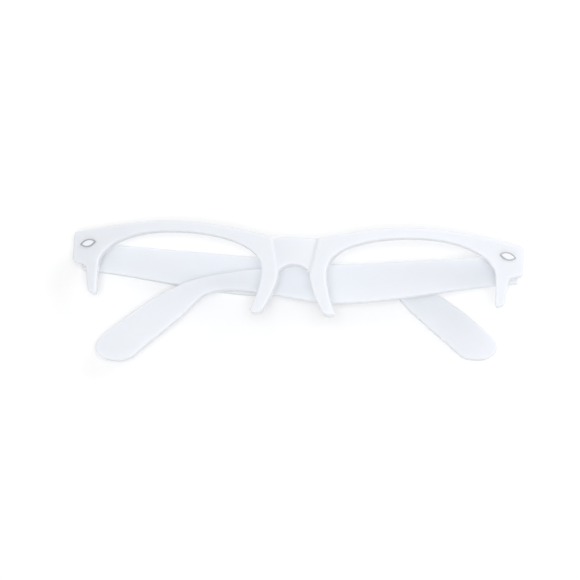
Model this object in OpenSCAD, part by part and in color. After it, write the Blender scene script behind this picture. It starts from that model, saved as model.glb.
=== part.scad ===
// Half-rim spectacle frame, folded and lying on its back on a table. Millimetres.
// The pieces are drawn as worn: x to the viewer's right, y back from the front, z up.
// The last step lays the folded frame down on the left arm's outer face.

/* [Front] */
// Width over the end pieces
front_w = 142; // [130:1:152]
// Radius of the base curve, seen from above
base_r = 300; // [220:10:420]
// Depth of the moulded front, front to back
front_t = 4.2; // [3.6:0.1:5]
// Width of each end piece outside the eye opening
end_w = 8.4; // [7.6:0.2:10]
// Height of each end piece
end_h = 9.8; // [9:0.2:11]
// Gap between the two eye openings
nose_gap = 20.2; // [17:0.2:23]
// Top of the eye opening above the hinge line
eye_top = 5.1; // [4.4:0.1:6]
// Height of the brow above the eye opening
rim_h = 3.3; // [2.8:0.1:4.6]
// Drop of the outer prongs below the hinge line
outer_drop = 15; // [12:0.2:18]
// Drop of the nose prongs below the hinge line
nose_drop = 20.3; // [18:0.2:24]
// Depth of the nose prongs and bridge, front to back
nose_t = 6.4; // [5.4:0.1:8]
// Setback of the bridge behind the rims
bridge_set = 0.15; // [0.1:0.05:0.6]

/* [Temples] */
// Length from the hinge to the end of the tip
arm_len = 130; // [120:1:145]
// Thickness of the arm
arm_t = 3.6; // [3:0.1:4.4]
// Depth of the belly below the hinge line
belly = 12.8; // [11:0.2:14]
// Depth of the neck behind the ear
neck = 9; // [8.6:0.2:10]
// Depth of the tip below the hinge line
tip_drop = 32.2; // [28:0.2:36]
// Angle of the folded left arm to the front
fold_left = 4.5; // [4:0.1:8]
// Angle of the folded right arm to the front
fold_right = -2; // [-2.4:0.1:-1]
// How far the left arm hangs down in its moulding
hang_left = -1.35; // [-2:0.05:0]
// How far the right arm hangs down in its moulding
hang_right = 1.35; // [0:0.05:2]

/* [Hinges] */
// Diameter of the hinge barrels
barrel_d = 2.8; // [2.4:0.1:3]
// Diameter of the hinge screw's shank
screw_d = 1.4; // [1.2:0.1:1.6]
// Radial running clearance of the screw
screw_gap = 0.05; // [0.02:0.01:0.08]
// Height of the three barrels together
hinge_h = 6; // [5:0.2:7]
// Thickness of the hinge leaves
leaf_t = 0.7; // [0.5:0.05:0.9]
// Diameter of the anchor pins
pin_d = 1.1; // [0.9:0.1:1.3]

/* [Ornaments] */
// Length of the pointed oval ring
eye_l = 5.3; // [4.4:0.1:6]
// Width of the ring's metal
ring_w = 0.3; // [0.25:0.05:0.5]
// Tilt of the ornament, outer end down
eye_tilt = 12; // [0:1:30]

/* [Hidden] */
$fn = 48;
half_w = front_w / 2;
eye_out = half_w - end_w;
eye_in = nose_gap / 2;
brow = eye_top + rim_h;
end_z = end_h / 2;
// the brow's highest point, as a share of the eye opening's width
apex_share = 0.562;
apex = eye_in + (eye_out - eye_in) * apex_share;
prong_w = 3.8;
bridge_r = 38;
bridge_w = 12.8;
bridge_taper = 1.5;
bridge_h = 16;
// plastic left behind the bridge's face
bridge_back = 1.5;
// top of the nose arch below the hinge line
arch = 4.6;
// thick stretch of the rims beside the nose, and its reach past the outline
nose_side = 3.2;
nose_over = 2;
// depth of the front face behind the middle of the brow at a distance x from it
function sag(x) = base_r - sqrt(base_r * base_r - x * x);
// flat pad behind each end piece
pad_rise = 0.2;
pad_in = 0.3;
pad_out = 0.4;
pad_foot = 0.3;
pad_top = 0.7;
pad_y = sag(half_w) + front_t + pad_rise;
// reach of the shapes that only cut
cut_h = 120;
cut_over = 2;
// from the pivot to the arm's end, and its gap to the pad when open
butt = 3.4;
butt_gap = 0.45;
arm_gap = 0.2;
inner_face = barrel_d / 2 + arm_gap;
hinge_in = 4.7;
pivot_x = half_w - hinge_in;
pivot_y = pad_y + butt_gap + butt;
hinge_z = 0.3;
knuckle_gap = 0.12;
mid_share = 0.36;
mid_h = hinge_h * mid_share;
side_h = (hinge_h - mid_h) / 2 - knuckle_gap;
bore_d = screw_d + 2 * screw_gap;
leaf_out = 2.8;
leaf_in = 1.7;
leaf_l = leaf_out + leaf_in;
leaf_h = 4.4;
web_w = 2.2;
fit = 0.02;
pin_l = 2.2;
pin_step = 2.6;
pin_in = 0.85;
head_h = 0.8;
slot_w = 0.4;
// scales of the arm's outline, which is drawn 130 long, 12.8 deep at the belly and 32.2 at the tip
ks = arm_len / 130;
kb = belly / 12.8;
kt = tip_drop / 32.2;
tip_x = 124.5 * ks;
eye_ratio = 0.45;
eye_h = eye_l * eye_ratio;
eye_x_in = 4.9;
eye_x = half_w - eye_x_in;
eye_z = 1.1;
seat_d = 1.2;
ring_rise = 0.3;
inlay_rise = 0.15;
eye_turn = asin(eye_x / base_r);

// points along a cubic curve, without its last point
function cubic(a, b, c, d, n) = [
    for (i = [0 : n - 1])
        let (t = i / n, u = 1 - t)
        u * u * u * a + 3 * u * u * t * b + 3 * u * t * t * c + t * t * t * d
];

// right half of the front's outline, from the top of the bridge round to the nose arch
half_outline = concat(
    cubic([0, 4], [2.4, 4], [4.4, 3.6], [7, 3.75], 4),
    cubic([7, 3.75], [18, brow - 2], [apex - 12.5, brow], [apex, brow], 10),
    cubic([apex, brow], [apex + 11, brow], [half_w - 9, end_z + 1.4], [half_w - 1.4, end_z], 8),
    cubic([half_w - 1.4, end_z], [half_w - 0.5, end_z - 0.2],
        [half_w, end_z - 0.6], [half_w, end_z - 1.4], 4),
    cubic([half_w, 1 - end_z], [half_w, 0.4 - end_z], [half_w - 0.3, -end_z], [half_w - 1, -end_z], 3),
    cubic([half_w - 1, -end_z], [half_w - 2.6, -end_z - 0.4],
        [eye_out + prong_w, -end_z - 0.6], [eye_out + prong_w, -end_z - 2.2], 5),
    cubic([eye_out + prong_w, -end_z - 2.2], [eye_out + prong_w - 0.2, -10],
        [eye_out + prong_w - 0.5, 4 - outer_drop], [eye_out + prong_w - 0.8, 1.6 - outer_drop], 4),
    cubic([eye_out + prong_w - 0.8, 1.6 - outer_drop], [eye_out + prong_w - 0.9, 0.7 - outer_drop],
        [eye_out + 1.4, 0.1 - outer_drop], [eye_out + 0.7, -outer_drop], 5),
    cubic([eye_out + 0.7, -outer_drop], [eye_out + 0.1, 0.2 - outer_drop],
        [eye_out, 0.8 - outer_drop], [eye_out, 1.8 - outer_drop], 3),
    cubic([eye_out, -6], [eye_out - 0.1, eye_top - 4.5],
        [apex + 12.5, eye_top], [apex, eye_top], 12),
    cubic([apex, eye_top], [apex - 15.5, eye_top],
        [eye_in + 0.5, eye_top - 3.9], [eye_in, -6.2], 12),
    cubic([eye_in, -6.2], [eye_in - 0.1, -10.5],
        [eye_in + 1.2, 5.2 - nose_drop], [eye_in + 3.1, 1.1 - nose_drop], 6),
    cubic([eye_in + 3.1, 1.1 - nose_drop], [eye_in + 3.3, -nose_drop],
        [eye_in + 0.9, -nose_drop - 0.3], [eye_in - 0.6, 0.7 - nose_drop], 5),
    cubic([eye_in - 0.6, 0.7 - nose_drop], [eye_in - 2.2, 3.5 - nose_drop],
        [eye_in - 5, -11.6], [eye_in - 5.3, -7.4], 7),
    cubic([eye_in - 5.3, -7.4], [eye_in - 5.4, -5.8], [eye_in - 7.9, -arch], [0, -arch], 6)
);
bridge_top = bridge_w / 2 + bridge_taper;
bridge_foot = bridge_w / 2 - bridge_taper;
bridge_outline = [
    [-bridge_top, bridge_h / 2], [bridge_top, bridge_h / 2],
    [bridge_foot, -bridge_h / 2], [-bridge_foot, -bridge_h / 2]
];
outline = concat(
    half_outline,
    [[0, -arch]],
    [for (i = [len(half_outline) - 1 : -1 : 1]) [-half_outline[i][0], half_outline[i][1]]]
);

// side view of an arm from the hinge, length along x
arm_outline = concat(
    cubic([-butt, 3 * kb], [15 * ks, 2.1 * kb], [32 * ks, 0.85 * kb], [50 * ks, -0.35 * kb], 6),
    cubic([50 * ks, -0.35 * kb], [66 * ks, -1.4 * kb], [84 * ks, -1.9 * kb], [97 * ks, -5.2 * kb], 8),
    cubic([97 * ks, -5.2 * kb], [107 * ks, -7.7 * kb],
        [118 * ks, 16.4 * kt - tip_drop], [128.2 * ks, 7.9 * kt - tip_drop], 8),
    cubic([128.2 * ks, 7.9 * kt - tip_drop], [132.1 * ks, 4.2 * kt - tip_drop],
        [129.8 * ks, 0.4 * kt - tip_drop], [tip_x, -tip_drop], 6),
    cubic([tip_x, -tip_drop], [122 * ks, -0.1 - tip_drop],
        [120 * ks, 0.1 * kt - tip_drop], [118.3 * ks, 1.4 * kt - tip_drop], 4),
    cubic([118.3 * ks, 1.4 * kt - tip_drop], [113 * ks, 6.2 * kt - tip_drop],
        [107 * ks, 11 * kt - tip_drop], [102.6 * ks, 15 * kt - tip_drop], 5),
    cubic([102.6 * ks, 15 * kt - tip_drop], [97.6 * ks, 19.6 * kt - tip_drop],
        [97.6 * ks, -neck], [86 * ks, -neck], 8),
    cubic([86 * ks, -neck], [76 * ks, -neck], [66 * ks, -belly - 0.1], [52 * ks, -belly], 7),
    cubic([52 * ks, -belly], [35 * ks, 0.5 * kb - belly], [15 * ks, -7.1 * kb], [-butt, -5.8 * kb], 7),
    [[-butt, -5.8 * kb]]
);

// the folded frame lies on the left arm's outer face
lift = pivot_x * sin(fold_left) + pivot_y * cos(fold_left) + inner_face + arm_t;
tip_low = tip_x * sin(hang_right) + tip_drop * cos(hang_right);
shift_x = -(pad_y + sag(half_w)) * sin(fold_left) / 2;
shift_y = (tip_low - brow) / 2;

// lays what is drawn as worn on the table
module lay() {
    translate([shift_x, shift_y, lift]) rotate([-90, 0, 0]) rotate([0, 0, -fold_left]) children();
}

// draws a left-hand piece on either side
module side_of(side) {
    if (side > 0) {
        mirror([1, 0, 0]) children();
    } else {
        children();
    }
}

// puts a left-hand arm piece at its folded hinge
module folded(side) {
    fold = side > 0 ? fold_right : fold_left;
    lay() side_of(side) translate([-pivot_x, pivot_y, hinge_z]) rotate([0, 0, fold]) children();
}

// puts a left-hand piece of the front at its hinge
module at_hinge(side) {
    lay() side_of(side) translate([-pivot_x, pivot_y, hinge_z]) children();
}

// extrudes a front view from y0 back to y1
module front_view(y0, y1) {
    translate([0, y1, 0]) rotate([90, 0, 0]) linear_extrude(y1 - y0) children();
}

// upright cylinder behind the front's face
module curve(set) {
    translate([0, base_r, -cut_h / 2]) cylinder(r = base_r - set, h = cut_h, $fn = 200);
}

// pointed oval, long side along x
module eye(l, h) {
    r = (l * l + h * h) / (4 * h);
    intersection() {
        translate([0, h / 2 - r]) circle(r, $fn = 72);
        translate([0, r - h / 2]) circle(r, $fn = 72);
    }
}

// an anchor pin of the front leaf, or its hole; place is 1 for the upper one and -1 for the lower
module front_anchor(place, d) {
    translate([pin_in - leaf_out, pad_y - pivot_y - leaf_t - pin_l, place * pin_step / 2])
        rotate([-90, 0, 0]) cylinder(d = d, h = pin_l + leaf_t);
}

// an anchor pin of the temple leaf, or its hole; place is 1 for the upper one and -1 for the lower
module temple_anchor(place, d) {
    translate([pin_in - leaf_out, inner_face, place * pin_step / 2])
        rotate([-90, 0, 0]) cylinder(d = d, h = pin_l + leaf_t);
}

// the plate of the front leaf, or its seat with a gap g all round
module front_plate(g) {
    translate([-leaf_out - g, pad_y - pivot_y - leaf_t, -hinge_h / 2 - g])
        cube([leaf_l + 2 * g, leaf_t + g, hinge_h + 2 * g]);
}

// the plate of the temple leaf, or its seat with a gap g all round
module temple_plate(g) {
    translate([-leaf_out - g, inner_face - g, -leaf_h / 2 - g])
        cube([leaf_l + 2 * g, leaf_t + g, leaf_h + 2 * g]);
}

// one barrel of the hinge about the pivot
module barrel(z0, h) {
    translate([0, 0, z0]) cylinder(d = barrel_d, h = h);
}

module front_frame() {
    color("white") lay() difference() {
        union() {
            intersection() {
                front_view(-cut_over, cut_h / 2) polygon(outline);
                difference() {
                    curve(0);
                    curve(front_t);
                }
            }
            intersection() {
                front_view(front_t / 2, nose_t) polygon(outline);
                translate([-eye_in - nose_side, 0, -nose_drop - nose_over])
                    cube([2 * (eye_in + nose_side), nose_t, nose_drop + brow + nose_over]);
            }
            for (s = [-1, 1]) {
                translate([s > 0 ? eye_out + pad_in : pad_out - half_w, pad_y - front_t, pad_foot - end_z])
                    cube([end_w - pad_in - pad_out, front_t, end_h - pad_foot - pad_top]);
            }
        }
        difference() {
            front_view(-cut_over, nose_t - bridge_back) polygon(bridge_outline);
            translate([0, bridge_set + bridge_r, -cut_h / 2]) cylinder(r = bridge_r, h = cut_h, $fn = 96);
        }
        for (s = [-1, 1]) {
            for (place = [-1, 1]) {
                side_of(s) translate([-pivot_x, pivot_y, hinge_z]) front_anchor(place, pin_d + 2 * fit);
            }
            side_of(s) translate([-pivot_x, pivot_y, hinge_z]) front_plate(fit);
            side_of(s) ornament_at() translate([0, 0, -seat_d]) linear_extrude(3 * seat_d)
                eye(eye_l + fit, eye_h + fit);
        }
    }
}

// the left ornament's seat: x along its length, z out of the front's face
module ornament_at() {
    translate([-eye_x, sag(eye_x), eye_z]) rotate([0, 0, -eye_turn])
        rotate([90, 0, 0]) rotate(eye_tilt) children();
}

module ornament_ring(side) {
    color("silver") lay() side_of(side) ornament_at() translate([0, 0, -seat_d])
        linear_extrude(seat_d + ring_rise) difference() {
            eye(eye_l, eye_h);
            eye(eye_l - 4 * ring_w, eye_h - 2 * ring_w);
        }
}

module ornament_inlay(side) {
    color("gainsboro") lay() side_of(side) ornament_at() translate([0, 0, -seat_d])
        linear_extrude(seat_d + inlay_rise) eye(eye_l - 4 * ring_w - 2 * fit, eye_h - 2 * ring_w - 2 * fit);
}

module temple(side) {
    hang = side > 0 ? hang_right : hang_left;
    color("white") folded(side) difference() {
        translate([0, inner_face + arm_t, -hinge_z]) rotate([90, 0, 0]) rotate(-hang)
            linear_extrude(arm_t) polygon(arm_outline);
        temple_plate(fit);
        for (place = [-1, 1]) {
            temple_anchor(place, pin_d + 2 * fit);
        }
    }
}

module front_leaf(side) {
    color("silver") at_hinge(side) difference() {
        union() {
            for (s = [0, 1]) {
                z0 = s > 0 ? mid_h / 2 + knuckle_gap : -hinge_h / 2;
                barrel(z0, side_h);
                translate([-web_w / 2, pad_y - pivot_y - leaf_t / 2, z0])
                    cube([web_w, pivot_y - pad_y, side_h]);
            }
            front_plate(0);
        }
        translate([0, 0, -hinge_h]) cylinder(d = bore_d, h = 2 * hinge_h);
        for (place = [-1, 1]) {
            front_anchor(place, pin_d + 2 * fit);
        }
    }
}

module temple_leaf(side) {
    color("silver") folded(side) difference() {
        union() {
            barrel(-mid_h / 2, mid_h);
            translate([0, 0, -mid_h / 2]) cube([barrel_d / 2, inner_face + leaf_t, mid_h]);
            temple_plate(0);
        }
        translate([0, 0, -hinge_h]) cylinder(d = bore_d, h = 2 * hinge_h);
        for (place = [-1, 1]) {
            temple_anchor(place, pin_d + 2 * fit);
        }
    }
}

module front_pin(side, place) {
    color("gray") at_hinge(side) front_anchor(place, pin_d);
}

module temple_pin(side, place) {
    color("gray") folded(side) temple_anchor(place, pin_d);
}

module hinge_screw(side) {
    color("gray") at_hinge(side) difference() {
        union() {
            translate([0, 0, -hinge_h / 2]) cylinder(d = screw_d, h = hinge_h);
            translate([0, 0, hinge_h / 2]) cylinder(d = barrel_d - arm_gap, h = head_h);
        }
        translate([-barrel_d, -slot_w / 2, (hinge_h + head_h) / 2])
            cube([2 * barrel_d, slot_w, head_h]);
    }
}

front_frame();
temple(-1);  // left_temple
temple(1);  // right_temple
front_leaf(-1);  // left_front_leaf
front_leaf(1);  // right_front_leaf
temple_leaf(-1);  // left_temple_leaf
temple_leaf(1);  // right_temple_leaf
front_pin(-1, 1);  // left_front_pin_upper
front_pin(-1, -1);  // left_front_pin_lower
temple_pin(-1, -1);  // left_temple_pin_lower
temple_pin(-1, 1);  // left_temple_pin_upper
front_pin(1, 1);  // right_front_pin_upper
front_pin(1, -1);  // right_front_pin_lower
temple_pin(1, -1);  // right_temple_pin_lower
temple_pin(1, 1);  // right_temple_pin_upper
hinge_screw(-1);  // left_hinge_screw
hinge_screw(1);  // right_hinge_screw
ornament_ring(-1);  // left_ornament_ring
ornament_ring(1);  // right_ornament_ring
ornament_inlay(-1);  // left_ornament_inlay
ornament_inlay(1);  // right_ornament_inlay
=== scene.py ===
import math

import bpy
import numpy as np
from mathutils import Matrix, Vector
from mathutils.geometry import delaunay_2d_cdt


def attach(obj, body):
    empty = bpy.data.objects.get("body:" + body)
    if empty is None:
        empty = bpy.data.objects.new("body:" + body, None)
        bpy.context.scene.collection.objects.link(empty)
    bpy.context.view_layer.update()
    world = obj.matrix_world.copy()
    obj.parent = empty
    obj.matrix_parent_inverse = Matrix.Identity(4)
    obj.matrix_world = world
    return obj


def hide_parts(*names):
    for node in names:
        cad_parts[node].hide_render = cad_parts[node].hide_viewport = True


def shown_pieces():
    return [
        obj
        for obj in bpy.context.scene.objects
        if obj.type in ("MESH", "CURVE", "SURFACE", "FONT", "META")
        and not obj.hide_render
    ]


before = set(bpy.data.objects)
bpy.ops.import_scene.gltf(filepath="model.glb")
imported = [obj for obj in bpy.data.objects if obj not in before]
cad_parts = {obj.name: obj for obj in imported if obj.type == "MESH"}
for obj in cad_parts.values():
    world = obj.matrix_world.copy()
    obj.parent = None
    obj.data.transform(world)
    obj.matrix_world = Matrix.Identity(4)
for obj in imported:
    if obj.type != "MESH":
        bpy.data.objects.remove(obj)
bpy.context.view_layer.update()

# sizes of the front, in millimetres, in the worn frame: x right, y back, z up from the hinge line
HALF_W, BASE_R, FRONT_T, NOSE_T = 71.0, 300.0, 4.2, 6.4
EYE_OUT, EYE_IN, EYE_TOP, BROW, END_Z = 62.6, 10.1, 5.1, 8.4, 4.9
OUTER_DROP, NOSE_DROP, PRONG_W = 15.0, 20.3, 3.8
BRIDGE_SET, BRIDGE_R, BRIDGE_TOP, ARCH = 0.15, 38.0, 4.0, 4.6
APEX_SHARE = 0.562
APEX = EYE_IN + (EYE_OUT - EYE_IN) * APEX_SHARE

# sizes of the arms, and the angles at which they fold and hang, in degrees
BUTT, BUTT_LOW, BUTT_GAP, HINGE_IN = 3.4, 5.8, 0.45, 4.7
INNER, ARM_T, BELLY, NECK, TIP, TIP_X = 1.6, 3.6, 12.8, 9.0, 32.2, 124.5
FOLD = {"left": 4.5, "right": -2.0}
HANG = {"left": -1.35, "right": 1.35}

# how far a face keeps off a metal face in the same plane
HAIR = 0.02
# the soft step beside the bridge: its place at the hinge line, lean, width, and where it fades out below
STEP_X, STEP_LEAN, STEP_W, STEP_FOOT, STEP_FADE = 7.0, 0.19, 1.2, 9.0, 3.0
BRIDGE_REACH = 12.0
# the thick nose and the end pads on the back: where each starts, and the width over which it rises
NOSE_EDGE, NOSE_FADE = 15.0, 4.0
PAD_RISE, PAD_IN, PAD_FADE, PAD_FOOT, PAD_FOOT_FADE = 0.2, 0.2, 1.4, 0.4, 1.2
# mesh steps, softening of the outlines' corners, and rolled edges
FRONT_STEP, FRONT_SOFT, ARM_STEP, ARM_SOFT, EDGE_R = 0.4, 0.35, 0.6, 0.5, 0.6
FRONT_GRID, ARM_GRID, FINE_GRID, FINE_REACH = 1.6, 4.0, 0.3, 11.0
EDGE_CLEAR = 0.45
ROLL_STEPS = 6


def sag(x):
    """Depth of the front's face behind the middle of the brow."""
    return BASE_R - np.sqrt(BASE_R * BASE_R - x * x)


PAD_Y = sag(HALF_W) + FRONT_T + PAD_RISE
PIVOT_X = HALF_W - HINGE_IN
PIVOT_Y = PAD_Y + BUTT_GAP + BUTT
LAY = math.radians(FOLD["left"])
LIFT = PIVOT_X * math.sin(LAY) + PIVOT_Y * math.cos(LAY) + INNER + ARM_T
RIGHT_HANG = math.radians(HANG["right"])
TIP_LOW = TIP_X * math.sin(RIGHT_HANG) + TIP * math.cos(RIGHT_HANG)
SHIFT_X = -(PAD_Y + sag(HALF_W)) * math.sin(LAY) / 2
SHIFT_Y = (TIP_LOW - BROW) / 2


def lay(p):
    """Worn frame in millimetres to the row frame in metres."""
    p = np.atleast_2d(p)
    x = p[:, 0] * math.cos(LAY) + p[:, 1] * math.sin(LAY)
    y = -p[:, 0] * math.sin(LAY) + p[:, 1] * math.cos(LAY)
    return np.stack([x + SHIFT_X, p[:, 2] + SHIFT_Y, LIFT - y], 1) / 1000


def cubic(a, b, c, d, n=24):
    """Points along a cubic curve, without its last point."""
    t = np.linspace(0, 1, n, endpoint=False)[:, None]
    u = 1 - t
    a, b, c, d = (np.array(p, float) for p in (a, b, c, d))
    return u**3 * a + 3 * u * u * t * b + 3 * u * t * t * c + t**3 * d


def soft(v):
    """A smooth rise from 0 to 1."""
    v = np.clip(v, 0, 1)
    return v * v * (3 - 2 * v)


def even(points, step, rounding):
    """A closed outline at even steps, its corners rounded over about `rounding`."""
    p = np.vstack([points, points[:1]])
    s = np.concatenate([[0], np.cumsum(np.linalg.norm(np.diff(p, axis=0), axis=1))])
    n = int(s[-1] / step)
    t = np.linspace(0, s[-1], n, endpoint=False)
    q = np.stack([np.interp(t, s, p[:, i]) for i in (0, 1)], 1)
    k = max(1, int(3 * rounding / step))
    w = np.exp(-0.5 * (np.arange(-k, k + 1) * step / rounding) ** 2)
    w /= w.sum()
    return sum(w[i + k] * np.roll(q, -i, axis=0) for i in range(-k, k + 1))


def fill_points(ring, grid, fine):
    """Points at even steps inside an outline, clear of its edge, and closer ones within `fine` of x = 0."""
    a, b = ring, np.roll(ring, -1, axis=0)
    lo, hi = ring.min(0), ring.max(0)
    keep = []
    for step, left, right in ((grid, lo[0], hi[0]), (FINE_GRID, -fine, fine)):
        gx, gy = np.meshgrid(np.arange(left, right, step), np.arange(lo[1], hi[1], step))
        for q in np.stack([gx.ravel(), gy.ravel()], 1):
            if step == grid and abs(q[0]) < fine + FINE_GRID:
                continue
            cross = (a[:, 1] > q[1]) != (b[:, 1] > q[1])
            slope = (b[cross, 0] - a[cross, 0]) / (b[cross, 1] - a[cross, 1])
            xs = a[cross, 0] + (q[1] - a[cross, 1]) * slope
            clear = np.min(np.hypot(*(ring - q).T)) > step * EDGE_CLEAR
            if (xs > q[0]).sum() % 2 and clear:
                keep.append(q)
    return keep


def rounded_plate(outline, near, far, place, grid, fine=0):
    """A plate of this outline with rolled edges. near and far give the depth of its two faces."""
    p = np.array(outline)
    x, y = p[:, 0], p[:, 1]
    if (x * np.roll(y, -1) - np.roll(x, -1) * y).sum() < 0:
        p = p[::-1]
    t = np.roll(p, -1, axis=0) - np.roll(p, 1, axis=0)
    t /= np.linalg.norm(t, axis=1)[:, None]
    out = np.stack([t[:, 1], -t[:, 0]], 1)
    n = len(p)
    verts, faces, rings = [], [], []
    for face, sign in ((near, 1), (far, -1)):
        angles = np.linspace(0, math.pi / 2, ROLL_STEPS + 1)
        for a in angles[::sign]:
            q = p - out * EDGE_R * (1 - math.sin(a))
            d = face(q) + sign * EDGE_R * (1 - math.cos(a))
            rings.append(len(verts))
            verts.extend(np.column_stack([q, d]))
    for a, b in zip(rings[:-1], rings[1:]):
        for i in range(n):
            j = (i + 1) % n
            faces.append((a + i, a + j, b + j, b + i))
    for face, start, flip in ((near, rings[0], False), (far, rings[-1], True)):
        ring = np.array(verts[start:start + n])[:, :2]
        pts = [Vector(v) for v in ring] + [Vector(v) for v in fill_points(ring, grid, fine)]
        got = delaunay_2d_cdt(pts, [(i, (i + 1) % n) for i in range(n)], [], 1, 1e-6)
        flat = np.array([[v.x, v.y] for v in got[0]])
        index = {}
        for k, source in enumerate(got[3]):
            if source and source[0] < n:
                index[k] = start + source[0]
            else:
                index[k] = len(verts)
                verts.append(np.append(flat[k], face(flat[k:k + 1])[0]))
        for f in got[2]:
            f = [index[k] for k in f]
            faces.append(f if flip else f[::-1])
    return place(np.array(verts)), faces


def flipped(shell):
    """The same shell with its faces turned over, for a mirrored place."""
    return shell[0], [f[::-1] for f in shell[1]]


def add_mesh(name, shell, body, node):
    """A smooth piece that rides on a body and stands for a CAD node."""
    verts, faces = shell
    mesh = bpy.data.meshes.new(name)
    mesh.from_pydata(verts.tolist(), [], [list(f) for f in faces])
    mesh.validate()
    mesh.shade_smooth()
    obj = bpy.data.objects.new(name, mesh)
    bpy.context.scene.collection.objects.link(obj)
    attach(obj, body)
    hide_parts(node)


# front: its right half, from the top of the bridge round to the nose arch
PRONG_OUT = EYE_OUT + PRONG_W
half_front = np.vstack([
    cubic([0, BRIDGE_TOP], [2.4, BRIDGE_TOP], [4.4, 3.6], [7, 3.75]),
    cubic([7, 3.75], [18, BROW - 2], [APEX - 12.5, BROW], [APEX, BROW], 60),
    cubic([APEX, BROW], [APEX + 11, BROW], [HALF_W - 9, END_Z + 1.4], [HALF_W - 1.4, END_Z], 60),
    cubic([HALF_W - 1.4, END_Z], [HALF_W - 0.5, END_Z - 0.2], [HALF_W, END_Z - 0.6], [HALF_W, END_Z - 1.4]),
    cubic([HALF_W, 1 - END_Z], [HALF_W, 0.4 - END_Z], [HALF_W - 0.3, -END_Z], [HALF_W - 1, -END_Z]),
    cubic([HALF_W - 1, -END_Z], [HALF_W - 2.6, -END_Z - 0.4],
          [PRONG_OUT, -END_Z - 0.6], [PRONG_OUT, -END_Z - 2.2]),
    cubic([PRONG_OUT, -END_Z - 2.2], [PRONG_OUT - 0.2, -10],
          [PRONG_OUT - 0.5, 4 - OUTER_DROP], [PRONG_OUT - 0.8, 1.6 - OUTER_DROP]),
    cubic([PRONG_OUT - 0.8, 1.6 - OUTER_DROP], [PRONG_OUT - 0.9, 0.7 - OUTER_DROP],
          [EYE_OUT + 1.4, 0.1 - OUTER_DROP], [EYE_OUT + 0.7, -OUTER_DROP]),
    cubic([EYE_OUT + 0.7, -OUTER_DROP], [EYE_OUT + 0.1, 0.2 - OUTER_DROP],
          [EYE_OUT, 0.8 - OUTER_DROP], [EYE_OUT, 1.8 - OUTER_DROP]),
    cubic([EYE_OUT, -6], [EYE_OUT - 0.1, EYE_TOP - 4.5], [APEX + 12.5, EYE_TOP], [APEX, EYE_TOP], 60),
    cubic([APEX, EYE_TOP], [APEX - 15.5, EYE_TOP], [EYE_IN + 0.5, EYE_TOP - 3.9], [EYE_IN, -6.2], 60),
    cubic([EYE_IN, -6.2], [EYE_IN - 0.1, -10.5],
          [EYE_IN + 1.2, 5.2 - NOSE_DROP], [EYE_IN + 3.1, 1.1 - NOSE_DROP]),
    cubic([EYE_IN + 3.1, 1.1 - NOSE_DROP], [EYE_IN + 3.3, -NOSE_DROP],
          [EYE_IN + 0.9, -NOSE_DROP - 0.3], [EYE_IN - 0.6, 0.7 - NOSE_DROP]),
    cubic([EYE_IN - 0.6, 0.7 - NOSE_DROP], [EYE_IN - 2.2, 3.5 - NOSE_DROP],
          [EYE_IN - 5, -11.6], [EYE_IN - 5.3, -7.4]),
    cubic([EYE_IN - 5.3, -7.4], [EYE_IN - 5.4, -5.8], [EYE_IN - 7.9, -ARCH], [0, -ARCH]),
])
whole_front = np.vstack([half_front, [[0, -ARCH]], half_front[:0:-1] * [-1, 1]])


def rim_front(q):
    """Depth of the front face: the base curve, and the rounder bridge set back in it."""
    x, z = np.abs(q[:, 0]), q[:, 1]
    inside = soft((STEP_X + STEP_LEAN * z - x) / STEP_W)
    bridge = BRIDGE_SET + BRIDGE_R - np.sqrt(BRIDGE_R**2 - np.minimum(x, BRIDGE_REACH) ** 2)
    return sag(x) + inside * soft((z + STEP_FOOT) / STEP_FADE) * (bridge - sag(x))


def rim_back(q):
    """Depth of the back face: an even wall, thicker at the nose and flat behind each end piece."""
    x, z = np.abs(q[:, 0]), q[:, 1]
    nose = soft((NOSE_EDGE - x) / NOSE_FADE)
    end = soft((x - EYE_OUT - PAD_IN) / PAD_FADE) * soft((z + END_Z + PAD_FOOT) / PAD_FOOT_FADE)
    base = sag(x) + FRONT_T
    return base * (1 - nose - end) + NOSE_T * nose + (PAD_Y - HAIR) * end


def front_place(v):
    return lay(np.column_stack([v[:, 0], v[:, 2], v[:, 1]]))


front_outline = even(whole_front, FRONT_STEP, FRONT_SOFT)
front_shell = rounded_plate(front_outline, rim_front, rim_back, front_place, FRONT_GRID, FINE_REACH)
add_mesh("front_moulding", front_shell, "front", "front_frame")

# arms: their side view from the hinge, length along x
arm_outline = even(np.vstack([
    cubic([-BUTT, 3], [15, 2.1], [32, 0.85], [50, -0.35]),
    cubic([50, -0.35], [66, -1.4], [84, -1.9], [97, -5.2]),
    cubic([97, -5.2], [107, -7.7], [118, 16.4 - TIP], [128.2, 7.9 - TIP]),
    cubic([128.2, 7.9 - TIP], [132.1, 4.2 - TIP], [129.8, 0.4 - TIP], [TIP_X, -TIP]),
    cubic([TIP_X, -TIP], [122, -0.1 - TIP], [120, 0.1 - TIP], [118.3, 1.4 - TIP]),
    cubic([118.3, 1.4 - TIP], [113, 6.2 - TIP], [107, 11 - TIP], [102.6, 15 - TIP]),
    cubic([102.6, 15 - TIP], [97.6, 19.6 - TIP], [97.6, -NECK], [86, -NECK]),
    cubic([86, -NECK], [76, -NECK], [66, -BELLY - 0.1], [52, -BELLY]),
    cubic([52, -BELLY], [35, 0.5 - BELLY], [15, -7.1], [-BUTT, -BUTT_LOW]),
    [[-BUTT, -BUTT_LOW]],
]), ARM_STEP, ARM_SOFT)


def arm_inner(q):
    return np.full(len(q), INNER + HAIR)


def arm_outer(q):
    return np.full(len(q), INNER + ARM_T)


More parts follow.
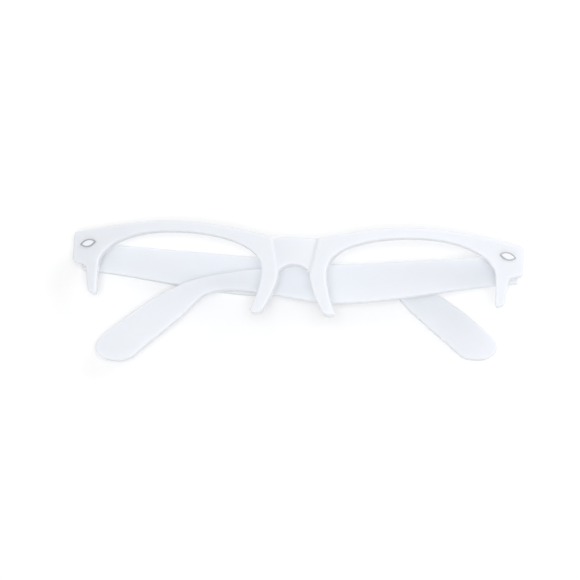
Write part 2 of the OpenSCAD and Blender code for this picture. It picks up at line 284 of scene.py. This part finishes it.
def arm_place(side):
    """The folded place of an arm drawn from its hinge."""
    sign = 1 if side == "right" else -1
    f, h = math.radians(FOLD[side]), math.radians(HANG[side])

    def place(v):
        s = v[:, 0] * math.cos(h) + v[:, 1] * math.sin(h)
        z = -v[:, 0] * math.sin(h) + v[:, 1] * math.cos(h)
        x = sign * (PIVOT_X - s * math.cos(f) + v[:, 2] * math.sin(f))
        y = PIVOT_Y + s * math.sin(f) + v[:, 2] * math.cos(f)
        return lay(np.column_stack([x, y, z]))
    return place


for side in ("left", "right"):
    arm_shell = rounded_plate(arm_outline, arm_inner, arm_outer, arm_place(side), ARM_GRID)
    if side == "right":
        arm_shell = flipped(arm_shell)
    add_mesh(side + "_arm_moulding", arm_shell, side + "_arm", side + "_temple")

# finishes: grain per metre, and how far the grain moves the roughness, the colour and the surface
GRAIN_SCALE, ROUGH_SPREAD, TINT_SPREAD = 2500.0, 0.04, 0.012
BUMP_HEIGHT, BUMP_STRENGTH = 0.00003, 0.1


def material(name, colour, metallic, roughness):
    """A finish whose roughness, colour and surface vary a little with a fine grain."""
    m = bpy.data.materials.new(name)
    m.use_nodes = True
    nodes, links = m.node_tree.nodes, m.node_tree.links
    shader = nodes["Principled BSDF"]
    shader.inputs["Metallic"].default_value = metallic
    coords = nodes.new("ShaderNodeTexCoord")
    grain = nodes.new("ShaderNodeTexNoise")
    grain.inputs["Scale"].default_value = GRAIN_SCALE
    links.new(coords.outputs["Object"], grain.inputs["Vector"])
    rough = nodes.new("ShaderNodeMapRange")
    rough.inputs["To Min"].default_value = roughness - ROUGH_SPREAD
    rough.inputs["To Max"].default_value = roughness + ROUGH_SPREAD
    links.new(grain.outputs["Fac"], rough.inputs["Value"])
    links.new(rough.outputs["Result"], shader.inputs["Roughness"])
    tint = nodes.new("ShaderNodeValToRGB")
    for stop, sign in zip(tint.color_ramp.elements, (-1, 1)):
        stop.color = (*(c * (1 + sign * TINT_SPREAD) for c in colour), 1)
    links.new(grain.outputs["Fac"], tint.inputs["Fac"])
    links.new(tint.outputs["Color"], shader.inputs["Base Color"])
    bump = nodes.new("ShaderNodeBump")
    bump.inputs["Strength"].default_value = BUMP_STRENGTH
    bump.inputs["Distance"].default_value = BUMP_HEIGHT
    links.new(grain.outputs["Fac"], bump.inputs["Height"])
    links.new(bump.outputs["Normal"], shader.inputs["Normal"])
    return m


def white_plastic():
    """Moulded plastic that lets a little light in."""
    m = material("white_plastic", (0.832, 0.854, 0.897), 0.0, 0.42)
    shader = m.node_tree.nodes["Principled BSDF"]
    shader.inputs["Specular IOR Level"].default_value = 0.25
    shader.inputs["Subsurface Weight"].default_value = 0.9
    shader.inputs["Subsurface Radius"].default_value = (1, 1, 1)
    shader.inputs["Subsurface Scale"].default_value = 0.0012
    return m


plastic = white_plastic()
finishes = {
    "leaf": material("hinge_metal", (0.62, 0.62, 0.63), 1.0, 0.32),
    "screw": material("screw_steel", (0.5, 0.5, 0.51), 1.0, 0.3),
    "pin": material("pin_steel", (0.45, 0.45, 0.46), 1.0, 0.4),
    "ring": material("ornament_metal", (0.42, 0.43, 0.46), 1.0, 0.38),
    "inlay": material("ornament_inlay", (0.88, 0.9, 0.94), 1.0, 0.2),
}
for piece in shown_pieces():
    if piece.type == "MESH":
        finish = next((m for word, m in finishes.items() if word in piece.name), plastic)
        piece.data.materials.clear()
        piece.data.materials.append(finish)


def shows(tree):
    """An output that is 1 where the camera sees straight, in a reflection or through glass, and else 0."""
    rays = tree.nodes.new("ShaderNodeLightPath")
    out = rays.outputs["Is Camera Ray"]
    for kind in ("Is Glossy Ray", "Is Transmission Ray"):
        either = tree.nodes.new("ShaderNodeMath")
        either.operation = "MAXIMUM"
        tree.links.new(out, either.inputs[0])
        tree.links.new(rays.outputs[kind], either.inputs[1])
        out = either.outputs[0]
    return out


# table, a little brighter where it is seen than its light alone makes it
TABLE_HALF, TABLE_LIFT = 3.0, 0.05
corners = [(-TABLE_HALF, -TABLE_HALF, 0), (TABLE_HALF, -TABLE_HALF, 0),
           (TABLE_HALF, TABLE_HALF, 0), (-TABLE_HALF, TABLE_HALF, 0)]
table_mesh = bpy.data.meshes.new("table")
table_mesh.from_pydata(corners, [], [(0, 1, 2, 3)])
table = bpy.data.objects.new("table", table_mesh)
bpy.context.scene.collection.objects.link(table)
table_white = bpy.data.materials.new("table_white")
table_white.use_nodes = True
table_tree = table_white.node_tree
table_shader = table_tree.nodes["Principled BSDF"]
table_shader.inputs["Base Color"].default_value = (0.98, 0.98, 0.98, 1)
table_shader.inputs["Roughness"].default_value = 0.9
table_shader.inputs["Specular IOR Level"].default_value = 0.0
table_shader.inputs["Emission Color"].default_value = (1, 1, 1, 1)
lift = table_tree.nodes.new("ShaderNodeMath")
lift.operation = "MULTIPLY"
lift.inputs[1].default_value = TABLE_LIFT
table_tree.links.new(shows(table_tree), lift.inputs[0])
table_tree.links.new(lift.outputs[0], table_shader.inputs["Emission Strength"])
table_mesh.materials.append(table_white)

# light: a white tent that looks brighter where it is seen than the light it gives
TENT_LIGHT, TENT_SEEN = 0.6, 1.0
world = bpy.data.worlds.new("tent")
bpy.context.scene.world = world
world.use_nodes = True
tent_tree = world.node_tree
tent = tent_tree.nodes["Background"]
tent.inputs["Color"].default_value = (1, 1, 1, 1)
level = tent_tree.nodes.new("ShaderNodeMapRange")
level.inputs["To Min"].default_value = TENT_LIGHT
level.inputs["To Max"].default_value = TENT_SEEN
tent_tree.links.new(shows(tent_tree), level.inputs["Value"])
tent_tree.links.new(level.outputs["Result"], tent.inputs["Strength"])


def lamp(name, watts, size, at):
    """A square lamp that shines at the origin."""
    light = bpy.data.lights.new(name, "AREA")
    light.energy = watts
    light.size = size
    o = bpy.data.objects.new(name, light)
    bpy.context.scene.collection.objects.link(o)
    o.location = at
    o.rotation_euler = (-Vector(at)).to_track_quat("-Z", "Y").to_euler()


lamp("overhead", watts=4.6, size=0.4, at=(0.0, -0.16, 1.19))
lamp("key", watts=1.0, size=0.4, at=(0.4, 0.45, 0.5))
lamp("fill", watts=0.35, size=0.5, at=(0.55, -0.25, 0.5))

# camera: its angles, its distance in metres, and its focal length in pixels of the photograph's width
CAM_AZ, CAM_EL, CAM_DIST = math.radians(2.557), math.radians(82.0), 0.7
PHOTO_PX, FOCAL_PX, SENSOR = 580, 2243.7, 36
# the middle of the picture, in the worn frame
LOOK_AT = [-1.235, 5.0, -12.096]
ahead = Vector((-math.sin(CAM_AZ), math.cos(CAM_AZ), 0))
to_cam = -ahead * math.cos(CAM_EL) + Vector((0, 0, math.sin(CAM_EL)))
camera = bpy.data.cameras.new("camera")
camera.lens = FOCAL_PX / PHOTO_PX * SENSOR
camera.sensor_width = SENSOR
camera.clip_start = 0.01
viewpoint = bpy.data.objects.new("camera", camera)
bpy.context.scene.collection.objects.link(viewpoint)
viewpoint.location = Vector(lay(LOOK_AT)[0]) + to_cam * CAM_DIST
viewpoint.rotation_euler = (-to_cam).to_track_quat("-Z", "Y").to_euler()
bpy.context.scene.camera = viewpoint
bpy.context.scene.view_settings.view_transform = "Standard"
